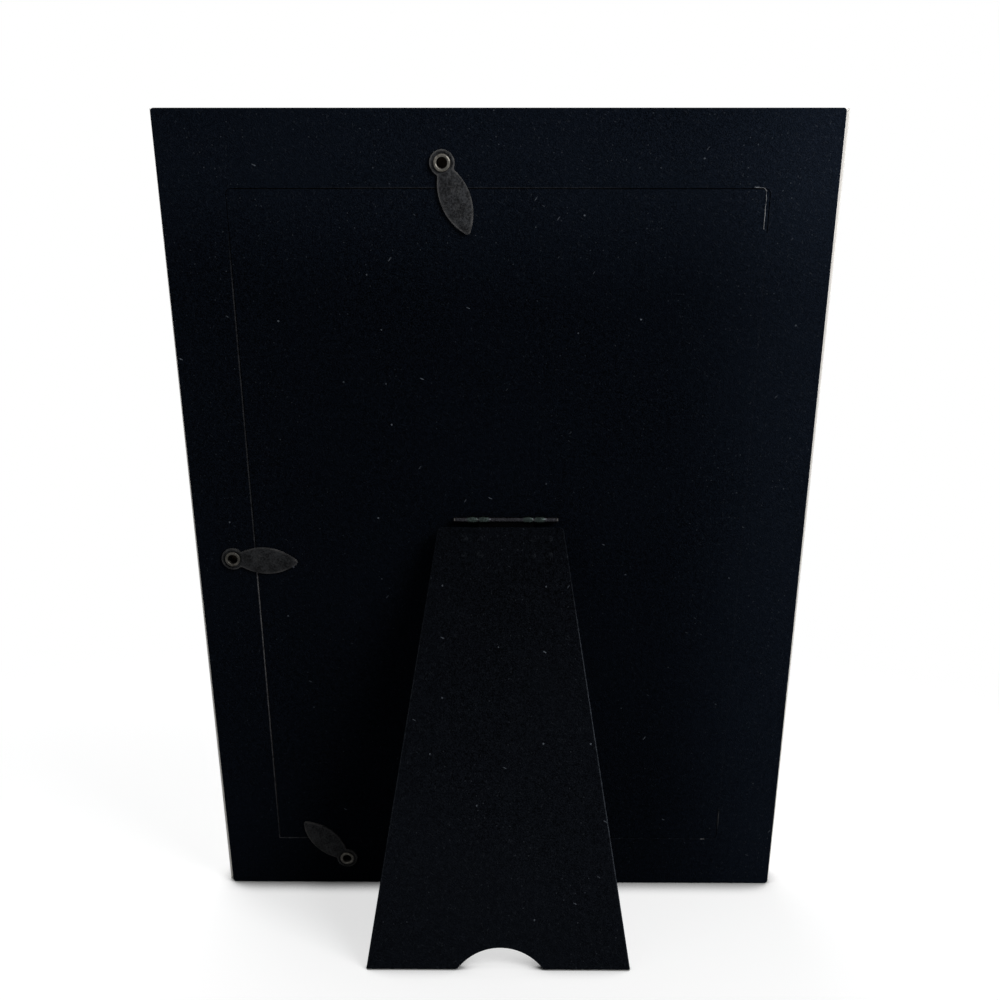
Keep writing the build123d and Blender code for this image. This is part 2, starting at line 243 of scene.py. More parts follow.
class Finish(NodeTree):
    """A material made of nodes."""

    def __init__(self, name):
        self.material = bpy.data.materials.new(name)
        self.material.use_nodes = True
        super().__init__(self.material.node_tree)

    def place_in(self, to_row):
        """Object coordinates in the panel's or the leg's frame, in metres."""
        from_row = to_row.inverted()
        return self.node("ShaderNodeMapping", None, {
            "Vector": self.node("ShaderNodeTexCoord", output=3),
            "Location": from_row.translation, "Rotation": from_row.to_euler()})

    def panel_place(self):
        return self.place_in(PANEL_TO_ROW)

    def from_pin(self):
        """Distance from the pin's axis and drop below it, in metres."""
        _, y, z = self.axes(self.node("ShaderNodeTexCoord", output=3))
        return self.length(0.0, y - PIN.y, z - PIN.z), PIN.z - z

    def stretched(self, place, x, y, z):
        return self.node(
            "ShaderNodeVectorMath", {"operation": "MULTIPLY"}, {0: place, 1: (x, y, z)})

    def drawn_out(self, flat, degrees, stretch):
        """A flat pattern turned by degrees and drawn out along one side."""
        return self.node("ShaderNodeMapping", {"vector_type": "TEXTURE"}, {
            "Vector": flat, "Rotation": (0, 0, math.radians(degrees)), "Scale": (1, stretch, 1)})

    def specks(self, flat, pitch, size, share):
        """Soft dots, one in some of the cells of a loose flat grid."""
        cells = self.node("ShaderNodeTexVoronoi", {"voronoi_dimensions": "2D"}, {
            "Vector": flat, "Scale": 1 / pitch}).socket.node.outputs
        chance, bulk, _ = self.axes(Value(self, cells["Color"]))
        past_edge = Value(self, cells["Distance"]) - bulk.ramp(0.0, 1.0, 0.3, 1.0) * (size / pitch)
        return past_edge.ramp(0.0, -0.4 * size / pitch) * (chance < share) * bulk * bulk

    def tint(self, amount, low, high):
        """Colour mixed from low to high by the amount."""
        return self.node("ShaderNodeMix", {"data_type": "RGBA"}, {0: amount, 6: low, 7: high}, 2)

    def brighter(self, colour, factor):
        return self.node(
            "ShaderNodeVectorMath", {"operation": "SCALE"}, {0: colour, "Scale": factor})

    def bump(self, height, depth, strength=1.0):
        return self.node("ShaderNodeBump", None, {
            "Height": height, "Distance": depth, "Strength": strength})

    def surface(self, inputs):
        return self.output(self.node("ShaderNodeBsdfPrincipled", None, inputs))

    def output(self, shader):
        self.node("ShaderNodeOutputMaterial", None, {"Surface": shader})
        return self.material


class Growth(NodeTree):
    """A Geometry Nodes tree with a named input for each of its sizes."""

    def __init__(self, name, sizes):
        super().__init__(bpy.data.node_groups.new(name, "GeometryNodeTree"))
        self.name = name
        sockets = self.tree.interface
        sockets.new_socket("Geometry", in_out="OUTPUT", socket_type="NodeSocketGeometry")
        sockets.new_socket("Geometry", in_out="INPUT", socket_type="NodeSocketGeometry")
        self.sizes = {}
        for label, size in sizes.items():
            kind = "NodeSocketInt" if isinstance(size, int) else "NodeSocketFloat"
            socket = sockets.new_socket(label, in_out="INPUT", socket_type=kind)
            self.sizes[socket.identifier] = size
        source = self.tree.nodes.new("NodeGroupInput")
        self.given = {socket.name: Value(self, socket) for socket in source.outputs if socket.name}

    def moved(self, geometry, translation, scale=(1, 1, 1)):
        return self.node("GeometryNodeTransform", None, {
            "Geometry": geometry, "Translation": translation, "Scale": scale})

    def wander(self, seed, scale, detail):
        """Noise over the geometry's own places, with another pattern for each seed."""
        return self.node("ShaderNodeTexNoise", {"noise_dimensions": "4D"}, {
            "Vector": self.node("GeometryNodeInputPosition"), "W": seed, "Scale": scale,
            "Detail": detail})

    def piece(self, geometry, material, points, edges=()):
        """The plain mesh that the tree grows from the points and edges."""
        whole = self.node("GeometryNodeRealizeInstances", None, {0: geometry})
        dressed = self.node("GeometryNodeSetMaterial", None, {
            "Geometry": whole, "Material": material})
        self.node("NodeGroupOutput", None, {0: dressed})
        mesh = bpy.data.meshes.new(self.name)
        mesh.from_pydata(points, edges, [])
        piece = bpy.data.objects.new(self.name, mesh)
        bpy.context.scene.collection.objects.link(piece)
        modifier = piece.modifiers.new(self.name, "NODES")
        modifier.node_group = self.tree
        for identifier, size in self.sizes.items():
            modifier[identifier] = size
        evaluated = piece.evaluated_get(bpy.context.evaluated_depsgraph_get())
        piece.data = bpy.data.meshes.new_from_object(evaluated)
        piece.modifiers.clear()
        return piece


def shade(tone, factor=1.0):
    """A property's colour as four numbers, made darker or paler."""
    return (*(channel * factor for channel in tone), 1.0)


def dress(material, *names):
    """Gives CAD nodes the finish."""
    for name in names:
        mesh = frame["nodes"][name].data
        mesh.materials.clear()
        mesh.materials.append(material)


def lacquer(paint, wood, along):
    """Off-white lacquer streaked along a rail, with mitre lines and bare wood under the board."""
    finish = Finish("moulding_lacquer_" + along)
    place = finish.panel_place()
    x, y, z = finish.axes(place)
    from_side = MOULDING_WIDTH / 2 - abs(x)
    from_end = z.least(MOULDING_HEIGHT - z)
    grain = (54, 810, 810) if along == "x" else (810, 810, 54)
    streaks = finish.noise(finish.stretched(place, *grain), 1.0, 4.0, 0.55)
    tone = streaks * 0.6 + finish.noise(place, 40.0) * 0.4
    painted = finish.tint(tone.ramp(0.3, 0.7), shade(paint, 0.88), shade(paint, 1.04))
    mitre = abs(from_side - from_end) < 0.09 * MM
    joined = finish.tint(mitre * 0.6, painted, shade(paint, 0.3))
    bare = (y > -0.05 * MM) * (from_side.least(from_end) > 2.0 * MM)
    fibres = finish.tint(streaks.ramp(0.3, 0.7), shade(wood, 0.6), shade(wood, 1.3))
    return finish.surface({
        "Base Color": finish.tint(bare, joined, fibres),
        "Roughness": tone.ramp(0.3, 0.7, 0.34, 0.5).most(bare * 0.9),
        "Normal": finish.bump(finish.noise(place, 900.0) * 0.4 + streaks * 0.6, 0.05 * MM, 0.5),
        "Specular IOR Level": 0.35})


def flock(finish, pile, lint, painted_light_and_dust, cut, worn, rub=0.0):
    """Black flocked paper: a short pile with lint in it, brightened by painted light with more dust there, paler
    where worn or rubbed, or where a painted highlight lies.
    """
    place = finish.panel_place()
    x, _, z = finish.axes(place)
    flat = finish.vector(x, z)
    tips = finish.noise(place, 3000.0, 2.0, 0.6)
    tufts = finish.noise(place, 800.0, 3.0, 0.6)
    brushed = finish.noise(place, 26.0, 2.0)
    depth = (tips * 0.75 + tufts * 0.25).ramp(0.32, 0.68)
    nap = finish.tint(depth, shade(pile, 0.1), shade(pile, 1.8))
    evened = brushed.ramp(0.35, 0.65, 0.0, 0.3) + painted_light_and_dust * 0.3
    nap = finish.tint(evened, nap, shade(pile, 1.35))
    # Painted light: the pile brightened where the light falls strongest, its dust heavier there too.
    nap = finish.brighter(nap, painted_light_and_dust + 1.0)
    nap = finish.tint(tufts.ramp(0.45, 0.75) * rub, nap, shade(lint, 0.25))
    nap = finish.tint(worn * tufts.ramp(0.3, 0.6, 0.4, 1.0), nap, shade(cut))
    fluff = finish.noise(finish.drawn_out(flat, 20.0, 4.0), 3000.0).most(
        finish.noise(finish.drawn_out(flat, -55.0, 4.0), 3000.0)).ramp(0.6, 0.8)
    caught = finish.specks(flat, 13.0 * MM, 0.28 * MM, 0.5)
    for degrees, stretch in ((35.0, 5.0), (-65.0, 4.0)):
        threads = finish.drawn_out(flat, degrees, stretch)
        caught = caught.most(finish.specks(threads, 7.0 * MM, 0.16 * MM, 0.35))
    clumps = finish.noise(place, 140.0, 2.0).ramp(0.38, 0.58)
    dust = finish.specks(flat, 1.7 * MM, 0.17 * MM, 0.6) * clumps
    dust = dust * (painted_light_and_dust * 0.3 + 0.24).least(0.6)
    dust = dust.most(fluff * (painted_light_and_dust * 0.1 + 0.08))
    return finish.surface({
        "Base Color": finish.tint(caught.most(dust), nap, shade(lint)),
        "Roughness": 0.95,
        "Normal": finish.bump(depth, 0.14 * MM, 0.7),
        "Specular IOR Level": 0.0,
        "Sheen Weight": 0.01,
        "Sheen Roughness": 0.5,
        "Sheen Tint": shade(SHEEN)})


def back_flock(colours):
    """The back's cover, with painted light along the top and towards the door's uncut side."""
    finish = Finish("black_flock")
    x, _, z = finish.axes(finish.panel_place())
    # Painted light: brightest along the top and towards the door's uncut side.
    above = z.ramp(168 * MM, 206 * MM, 0.0, 0.75)
    beside = x.ramp(45 * MM, 80 * MM, 0.0, 0.2)
    painted_light_and_dust = above.most(beside) + x.ramp(-40 * MM, -82 * MM, 0.0, 0.9)
    return flock(finish, colours.flock, colours.lint, painted_light_and_dust, colours.cut, seam_wear(x, z))


def seam_wear(x, z):
    """How much of the cover's cut edge shows round the door, on the rim's side of the slit."""
    past_side = abs(x - DOOR_MIDDLE.x) - DOOR_SIZE.x / 2
    past_end = abs(z - DOOR_MIDDLE.y) - DOOR_SIZE.y / 2
    past = past_side.most(past_end)
    lip = past.ramp(0.05 * MM, 0.12 * MM) * past.ramp(0.42 * MM, 0.3 * MM)
    under_button = z.ramp(-20 * MM, 110 * MM) * (z < SIDE_BUTTON_Z)
    over_button = z.ramp(192 * MM, 172 * MM, 0.0, 0.25) * (z > SIDE_BUTTON_Z)
    opening = (under_button + over_button) * (x > OPENING_SIDE_X)
    top = x.ramp(50 * MM, 28 * MM) * x.ramp(-34 * MM, -20 * MM, 0.0, 0.11) * (z > TOP_SLIT_Z)
    nick = abs(x - NICK_X) < NICK_REACH
    foot = (x.ramp(50 * MM, 64 * MM, 0.03, 0.45) + nick) * (z < FOOT_SLIT_Z)
    mark = z.ramp(20 * MM, 23 * MM) * z.ramp(27.5 * MM, 25 * MM, 0.02, 0.5)
    uncut = mark * (x < UNCUT_SIDE_X)
    return lip * opening.most(top).most(foot).most(uncut)


def leg_flock(name, colours, rub=0.0):
    """The leg's cover, with painted light towards the foot and a painted highlight along its cut sides."""
    finish = Finish(name)
    x, _, z = finish.axes(finish.place_in(LEG_TO_ROW))
    # Painted light, growing towards the foot.
    painted_light_and_dust = z.ramp(-5 * MM, -95 * MM, 0.0, 0.42)
    from_right = x - z * LEG_RIGHT_SPREAD + LEG_RIGHT
    from_left = LEG_LEFT - z * LEG_LEFT_SPREAD - x
    # Painted highlight along the cut sides, stronger on the right, passed to the flock as its worn mark.
    faint_lit_side = from_left.ramp(0.4 * MM, 0.2 * MM, 0.0, 0.25)
    lit_sides = from_right.ramp(0.34 * MM, 0.16 * MM).most(faint_lit_side)
    worn = lit_sides * z.ramp(-12 * MM, -40 * MM, 0.05, 0.4)
    return flock(finish, colours.leg_flock, colours.lint, painted_light_and_dust, colours.lint, worn, rub)


def stained_board(stain, fibre):
    """Hardboard with black-stained edges, left raw low down on the side where the door opens."""
    finish = Finish("brown_board")
    place = finish.panel_place()
    x, _, z = finish.axes(place)
    fibres = finish.noise(finish.stretched(place, 1.0, 4.0, 1.0), 700.0, 4.0, 0.6)
    wiped = finish.noise(finish.stretched(place, 1.0, 0.3, 1.0), 110.0, 3.0)
    by_slit = x.ramp(58 * MM, 62 * MM) * (x < 72 * MM) * z.ramp(110 * MM, 104 * MM)
    raw = by_slit * wiped.ramp(0.25, 0.5)
    brown = finish.tint(fibres.ramp(0.3, 0.7), shade(fibre, 0.55), shade(fibre, 1.3))
    black = finish.tint(wiped.ramp(0.5, 0.75) * 0.35, shade(stain), shade(fibre, 0.4))
    return finish.surface({
        "Base Color": finish.tint(raw, black, brown),
        "Roughness": 0.9,
        "Normal": finish.bump(fibres, 0.08 * MM, 0.6),
        "Specular IOR Level": 0.1})


def button_steel(name, metal, worn):
    """Blackened steel of one turn button: pebbled, scratched, a little domed, its rim rubbed."""
    degrees, tone = BUTTONS[name]
    eyelet = PANEL_TO_ROW.inverted() @ Vector(JOINTS[name + "_button_turn"]["pos_m"])
    finish = Finish("dark_steel_" + name)
    place = finish.panel_place()
    along, _, across = finish.axes(finish.node("ShaderNodeMapping", {"vector_type": "TEXTURE"}, {
        "Vector": place, "Location": eyelet, "Rotation": (0, -math.radians(degrees), 0)}))
    flat = finish.vector(along, across)
    from_belly = (along - LEAF_MIDDLE) * (1 / LEAF_HALF_LENGTH)
    in_leaf = (1 - from_belly * from_belly) * LEAF_HALF_WIDTH - abs(across)
    inside = in_leaf.most(EYE_RADIUS - finish.length(along, across))
    rim = inside.ramp(0.5 * MM, 0.15 * MM)
    pebbles = finish.noise(place, 2000.0, 2.0, 0.6)
    stains = finish.noise(place, 380.0, 3.0)
    scratches = finish.noise(finish.drawn_out(flat, 30.0, 7.0), 2200.0).most(
        finish.noise(finish.drawn_out(flat, -50.0, 7.0), 2200.0)).ramp(0.56, 0.74)
    mottle = (pebbles * 0.6 + stains * 0.4).ramp(0.36, 0.64)
    # Painted light and shade: the steel made paler or darker by the button's tone.
    skin = finish.tint(mottle, shade(metal, 0.35 * tone), shade(metal, 1.65 * tone))
    rubbed = (rim * stains.ramp(0.35, 0.6, 0.3, 1.0) * 0.8).most(scratches * 0.4)
    return finish.surface({
        "Base Color": finish.tint(rubbed, skin, shade(worn, tone)),
        "Roughness": pebbles.ramp(0.3, 0.7, 0.34, 0.52),
        "Normal": finish.bump(inside.ramp(0.0, 2.4 * MM, 0.0, 3.0) + pebbles * 0.5, 0.1 * MM),
        "Specular IOR Level": 0.03})


def hinge_steel(metal, swell):
    """Blackened rolled steel, rubbed where its knuckles swell, with glints painted on the swells and a painted
    shadow black on the leaf below them.
    """
    finish = Finish("hinge_steel")
    place = finish.panel_place()
    pebbles = finish.noise(place, 2200.0, 2.0, 0.6)
    stains = finish.noise(place, 420.0, 3.0)
    apart, drop = finish.from_pin()
    mottle = (pebbles * 0.7 + stains * 0.3).ramp(0.3, 0.7)
    skin = finish.tint(mottle, shade(metal, 0.5), shade(metal, 1.5))
    swollen = (apart + stains * 0.1 * MM).ramp(SWELL_START, SWELL_FULL)
    skin = finish.tint(swollen, skin, shade(swell))
    # Painted glints on the swells, mixed with rubbed spots.
    skin = finish.tint(swollen * pebbles.ramp(0.5, 0.66) * 0.8, skin, shade(swell, 2.5))
    return finish.surface({
        # Painted shadow: the leaf black below the barrel.
        "Base Color": finish.tint(drop.ramp(0.7 * MM, 0.9 * MM), skin, shade(metal, 0.05)),
        "Roughness": pebbles.ramp(0.3, 0.7, 0.24, 0.4),
        "Metallic": 1.0,
        "Normal": finish.bump(pebbles, 0.1 * MM, 0.5)})


def dulled_metal(name, metal, shaded_under=None):
    """Bare metal gone dull in patches, or also with painted shade under a height and painted shade deepening lower
    down the panel.
    """
    finish = Finish(name)
    place = finish.panel_place()
    tarnish = finish.noise(place, 1100.0, 3.0)
    skin = finish.tint(tarnish.ramp(0.3, 0.7), shade(metal, 1.35), shade(metal, 0.6))
    if shaded_under:
        _, height, z = finish.axes(place)
        # Painted shade: darker lower down the panel, and dark under the roll in the bore and round its foot.
        skin = finish.brighter(skin, z.ramp(EYELET_SHADED_Z, EYELET_UNSHADED_Z, 0.42, 1.0))
        painted_shade = height.ramp(shaded_under, shaded_under - 0.25 * MM)
        skin = finish.tint(painted_shade, skin, shade(metal, 0.06))
    return finish.surface({
        "Base Color": skin,
        "Roughness": tarnish.ramp(0.3, 0.7, 0.32, 0.5),
        "Metallic": 1.0,
        "Normal": finish.bump(tarnish, 0.03 * MM, 0.4)})


def paper(name, stock):
    """Plain paper with faint fibres."""
    finish = Finish(name)
    place = finish.panel_place()
    fibres = finish.noise(place, 1400.0, 4.0, 0.6)
    tone = fibres * 0.75 + finish.noise(place, 60.0) * 0.25
    return finish.surface({
        "Base Color": finish.tint(tone.ramp(0.3, 0.7), shade(stock, 0.92), shade(stock, 1.05)),
        "Roughness": fibres.ramp(0.3, 0.7, 0.78, 0.9),
        "Normal": finish.bump(fibres, 0.02 * MM, 0.5),
        "Specular IOR Level": 0.25})


def picture_glass(tone):
    """Clear glass that lets light straight through to what lies behind it."""
    finish = Finish("clear_glass")
    pane = finish.node("ShaderNodeBsdfPrincipled", None, {
        "Base Color": shade(tone), "Roughness": 0.0, "IOR": 1.5, "Transmission Weight": 1.0})
    passing = finish.node("ShaderNodeBsdfTransparent", None, {0: shade(tone)})
    light = finish.rays("Is Shadow Ray", "Is Diffuse Ray")
    return finish.output(finish.node("ShaderNodeMixShader", None, {0: light, 1: pane, 2: passing}))


def bare_insert(sizes, stock):
    """The bare sheet behind the glass, buckled a little and a hair off the pane."""
    growth = Growth("bare_insert", {
        "Width": sizes.insert_width, "Height": sizes.insert_height,
        "Thickness": sizes.insert_sheet, "Buckle": sizes.insert_buckle,
        "Seed": sizes.insert_seed})
    given = growth.given
    columns, rows = INSERT_GRID
    back = growth.node("GeometryNodeMeshGrid", None, {
        "Size X": given["Width"], "Size Y": given["Height"],
        "Vertices X": columns, "Vertices Y": rows})
    swell = growth.wander(given["Seed"], 22.0, 1.0) - 0.5
    back = growth.node("GeometryNodeSetPosition", None, {
        "Geometry": back, "Offset": growth.vector(0.0, 0.0, swell * given["Buckle"])})
    front = growth.node("GeometryNodeExtrudeMesh", None, {
        "Mesh": back, "Offset Scale": given["Thickness"], "Individual": False})
    back = growth.node("GeometryNodeFlipFaces", None, {"Mesh": back})
    sheet = growth.node("GeometryNodeJoinGeometry", None, {0: [front, back]})
    sheet = growth.node("GeometryNodeMergeByDistance", None, {
        "Geometry": sheet, "Distance": 0.01 * MM})
    laid = growth.node("GeometryNodeInstanceOnPoints", None, {
        "Points": given["Geometry"], "Instance": sheet, "Rotation": (math.pi / 2 - LEAN, 0, 0)})
    low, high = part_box("photo_insert")
    return growth.piece(laid, stock, [(low + high) / 2 + PANEL_NORMAL * sizes.insert_seat])


def rolled_eyelets(sizes, metal):
    """An eyelet in each turn button: barrel, flange rolled over the button and clinch behind."""
    growth = Growth("rolled_eyelets", {
        "Bore": sizes.eyelet_bore, "Flange": sizes.eyelet_flange, "Curl": sizes.eyelet_curl,
        "Wall": sizes.eyelet_wall, "Grip": sizes.eyelet_grip, "Seat": sizes.eyelet_seat,
        "Clinch": sizes.eyelet_clinch})
    given = growth.given
    bore, seat, grip, wall = given["Bore"], given["Seat"], given["Grip"], given["Wall"]
    roll = (given["Flange"] - bore) * 0.25
    clinch = (given["Clinch"] - bore) * 0.5
    arc = growth.node("GeometryNodeCurveArc", {"mode": "RADIUS"}, {
        "Resolution": ROLL_STEPS, "Radius": 1.0, "Start Angle": math.pi, "Sweep Angle": math.pi})
    arc = growth.node("GeometryNodeSetSplineCyclic", None, {"Geometry": arc, "Cyclic": True})
    flange = growth.moved(
        arc, growth.vector(roll, 0.02 * MM - seat), growth.vector(roll, given["Curl"], 1.0))
    barrel = growth.node("GeometryNodeCurvePrimitiveQuadrilateral", None, {
        "Width": wall, "Height": grip})
    barrel = growth.moved(barrel, growth.vector(wall * 0.5, grip * 0.5 - seat))
    lip = growth.node("GeometryNodeCurvePrimitiveQuadrilateral", None, {
        "Width": clinch, "Height": wall})
    lip = growth.moved(lip, growth.vector(clinch * 0.5, grip - wall * 0.5 - seat))
    outline = growth.node("GeometryNodeJoinGeometry", None, {0: [flange, barrel, lip]})
    round_path = growth.node("GeometryNodeCurvePrimitiveCircle", None, {
        "Resolution": RING_STEPS, "Radius": bore * 0.5})
    eyelet = growth.node("GeometryNodeCurveToMesh", None, {
        "Curve": round_path, "Profile Curve": outline})
    eyelets = growth.node("GeometryNodeInstanceOnPoints", None, {
        "Points": given["Geometry"], "Instance": eyelet, "Rotation": (-math.pi / 2 - LEAN, 0, 0)})
    points = [Vector(JOINTS[name + "_button_turn"]["pos_m"]) for name in BUTTONS]
    return growth.piece(eyelets, metal, points)


def prong_bumps(sizes, cover):
    """Soft swellings where the hinge leaf's prongs press the leg's cover out, in two fours."""
    growth = Growth("prong_bumps", {
        "Width": sizes.bump_width, "Height": sizes.bump_height, "Seed": sizes.bump_seed})
    given = growth.given
    ball = growth.node("GeometryNodeMeshIcoSphere", None, {
        "Radius": 1.0, "Subdivisions": DOME_CUTS})
    half = given["Width"] * 0.5
    dome = growth.moved(ball, (0, 0, 0), growth.vector(half, half, given["Height"]))
    dome = growth.node("GeometryNodeSetShadeSmooth", None, {"Geometry": dome})
    spread = growth.node("FunctionNodeRandomValue", None, {
        2: 0.85, 3: 1.12, "Seed": given["Seed"]}, 1)
    domes = growth.node("GeometryNodeInstanceOnPoints", None, {
        "Points": given["Geometry"], "Instance": dome,
        "Rotation": (LEG_SLOPE - math.pi / 2, 0, 0), "Scale": spread})
    step = sizes.prong_pitch / 2
    points = [
        LEG_TO_ROW @ Vector((sizes.hinge_offset + group + dx, LEG_FACE, dz - sizes.prong_drop))
        for group in (-sizes.prong_spread / 2, sizes.prong_spread / 2)
        for dx in (-step, step) for dz in (-step, step)]
    return growth.piece(domes, cover, points)


def raw_slit_edge(sizes, stock):
    """The cover's pale core, frayed along the slit's short return over the door's uncut side."""
    growth = Growth("raw_slit_edge", {
        "Width": sizes.fray_width, "Wander": sizes.fray_wander, "Seed": sizes.fray_seed})
    given = growth.given
    path = growth.node("GeometryNodeMeshToCurve", None, {"Mesh": given["Geometry"]})
    path = growth.node("GeometryNodeResampleCurve", {"mode": "LENGTH"}, {
        "Curve": path, "Length": STRAND_STEP})
    drift = growth.wander(given["Seed"], 700.0, 3.0) - 0.5
    path = growth.node("GeometryNodeSetPosition", None, {
        "Geometry": path, "Offset": growth.vector(drift * given["Wander"], 0.0, 0.0)})
    fray = growth.wander(given["Seed"] + 7, 900.0, 2.0)
    strand = growth.node("GeometryNodeCurvePrimitiveCircle", None, {
        "Resolution": STRAND_SIDES, "Radius": given["Width"] * 0.5})
    edge = growth.node("GeometryNodeCurveToMesh", None, {
        "Curve": path, "Profile Curve": strand, "Scale": fray.ramp(0.3, 0.7, 0.2, 1.0),
        "Fill Caps": True})
    edge = growth.node("GeometryNodeSetShadeSmooth", None, {"Geometry": edge})
    corner = Vector((sizes.slit_x, sizes.slit_depth, sizes.slit_z))
    points = [PANEL_TO_ROW @ (corner + Vector(step) * MM) for step in STRAND_ROUTE]
    return growth.piece(edge, stock, points, [(i, i + 1) for i in range(len(points) - 1)])


def colour_property(name, description, default):
    return FloatVectorProperty(
        name=name, description=description, subtype="COLOR", min=0.0, max=1.0, default=default)


def size_property(name, description, millimetres):
    return FloatProperty(
        name=name, description=description, subtype="DISTANCE", unit="LENGTH", precision=5,
        default=millimetres * MM)


class FrameColours(PropertyGroup):
    lacquer: colour_property("Lacquer", "Paint of the moulding", (0.74, 0.715, 0.675))
    wood: colour_property("Wood", "Bare back of the moulding", (0.05, 0.035, 0.022))
    flock: colour_property("Flock", "Black pile of the back", (0.0018, 0.0026, 0.0043))
    leg_flock: colour_property("Leg flock", "Black pile of the leg", (0.0024, 0.0029, 0.0040))
    lint: colour_property("Lint", "Specks caught in the pile", (0.075, 0.085, 0.10))
    core: colour_property("Core", "Frayed core of the flocked paper", (0.145, 0.149, 0.158))
    cut: colour_property("Cut edge", "Cut edge of the flocked paper", (0.080, 0.079, 0.082))
    board: colour_property("Board", "Raw edge of the back board", (0.20, 0.145, 0.115))
    stain: colour_property("Stain", "Blackened edges of the boards", (0.008, 0.008, 0.009))
    lining: colour_property("Lining", "Paper inside the leg", (0.012, 0.012, 0.014))
    steel: colour_property("Steel", "Blackened turn buttons", (0.0160, 0.0168, 0.0182))
    worn: colour_property("Worn steel", "Rims and scratches of the buttons", (0.055, 0.054, 0.054))
    hinge: colour_property("Hinge steel", "Barrel of the hinge", (0.0170, 0.0170, 0.0195))
    # This colour, made paler, also gives the painted glints on the swells.
    swell: colour_property("Worn swells", "Swells of the knuckles", (0.0148, 0.0200, 0.0185))
    pin: colour_property("Pin", "Heads of the hinge's pin", (0.060, 0.058, 0.056))
    eyelet: colour_property("Eyelet", "Rolled eyelets", (0.085, 0.081, 0.072))
    nail: colour_property("Nail", "Nails across the mitres", (0.40, 0.40, 0.40))
    insert: colour_property("Insert", "Bare paper behind the glass", (0.76, 0.75, 0.72))
    filler: colour_property("Filler", "Card behind the insert", (0.32, 0.30, 0.27))
    glass: colour_property("Glass", "Tone of the glass", (0.99, 0.997, 0.994))


class DetailSizes(PropertyGroup):
    eyelet_bore: size_property("Eyelet bore", "Hole through an eyelet", 2.4)
    eyelet_flange: size_property("Eyelet flange", "Width of the rolled flange", 4.2)
    eyelet_curl: size_property("Eyelet curl", "Height of the roll over its seat", 0.45)
    eyelet_wall: size_property("Eyelet wall", "Thickness of the sheet", 0.3)
    eyelet_grip: size_property("Eyelet grip", "Length between flange and clinch", 2.9)
    eyelet_seat: size_property("Eyelet seat", "Height of the flange over the button's back", 0.4)
    eyelet_clinch: size_property("Eyelet clinch", "Width of the clinch", 4.6)
    insert_width: size_property("Insert width", "Width of the bare sheet", 127.4)
    insert_height: size_property("Insert height", "Height of the bare sheet", 180.4)
    insert_sheet: size_property("Insert sheet", "Thickness of the bare sheet", 0.2)
    insert_buckle: size_property("Insert buckle", "How far the bare sheet swells", 0.04)
    insert_seat: size_property("Insert seat", "From its place's middle to the sheet's back", 0.11)
    insert_seed: IntProperty(name="Insert seed", description="Pattern of the swells", default=2)
    bump_width: size_property("Bump width", "Width of a prong's bump", 2.0)
    bump_height: size_property("Bump height", "Height of a prong's bump", 0.28)
    bump_seed: IntProperty(name="Bump seed", description="Pattern of the bumps' sizes", default=3)
    prong_pitch: size_property("Prong pitch", "Between the prongs of a group", 4.2)
    prong_spread: size_property("Prong spread", "Between the two groups", 18.0)
    prong_drop: size_property("Prong drop", "From the pin down to the groups", 7.2)
    hinge_offset: size_property("Hinge offset", "From the middle to the hinge's middle", -1.8)
    fray_width: size_property("Fray width", "Width of the frayed core", 0.26)
    fray_wander: size_property("Fray wander", "How far the frayed core strays", 0.35)
    fray_seed: IntProperty(name="Fray seed", description="Pattern of the frayed core", default=5)
    slit_x: size_property("Slit side", "Across to the slit's return", -63.45)
    slit_z: size_property("Slit height", "Up to the slit above the door", 199.3)
    slit_depth: size_property("Slit depth", "Out to the middle of the frayed core", 2.43)


class StageSettings(PropertyGroup):
    lens: FloatProperty(name="Lens", description="Focal length", default=35.504, unit="CAMERA")
    rise: FloatProperty(name="Rise", description="Vertical lens shift", default=0.03)
    eye: FloatVectorProperty(
        name="Eye", description="Place of the camera", subtype="TRANSLATION", unit="LENGTH",
        default=(-0.00146, 0.26897, 0.13242))
    pitch: FloatProperty(
        name="Pitch", description="How far the camera looks down", subtype="ANGLE",
        default=math.radians(5.004))
    yaw: FloatProperty(
        name="Yaw", description="How far the camera turns", subtype="ANGLE",
        default=math.radians(0.275))
    roll: FloatProperty(
        name="Roll", description="How far the camera tips", subtype="ANGLE",
        default=math.radians(-0.089))
    floor: colour_property("Floor", "Colour of the floor", (0.4, 0.4, 0.4))
    floor_glow: FloatProperty(
        name="Floor glow", description="What the floor adds to its colour in view", default=0.68)
    sky: FloatProperty(name="Sky", description="Soft light from all round", default=0.09)
    key_power: FloatProperty(name="Key lamp", description="Power", default=2.25, unit="POWER")
    fill_power: FloatProperty(name="Fill lamp", description="Power", default=0.8, unit="POWER")
    front_power: FloatProperty(name="Front lamp", description="Power", default=12.5, unit="POWER")
    top_power: FloatProperty(name="Top lamp", description="Power", default=1.2, unit="POWER")


class PICTURE_FRAME_OT_moulding(Operator):
    """Lacquer the four mitred rails and finish the nails that hold them"""
    bl_idname = "picture_frame.moulding"
    bl_label = "Moulding"

    def execute(self, context):
        colours = context.scene.frame_colours
        dress(lacquer(colours.lacquer, colours.wood, "x"), "moulding_top", "moulding_bottom")
        dress(lacquer(colours.lacquer, colours.wood, "z"), "moulding_left", "moulding_right")
        dress(dulled_metal("nail_steel", colours.nail), "corner_nails")
        return {"FINISHED"}


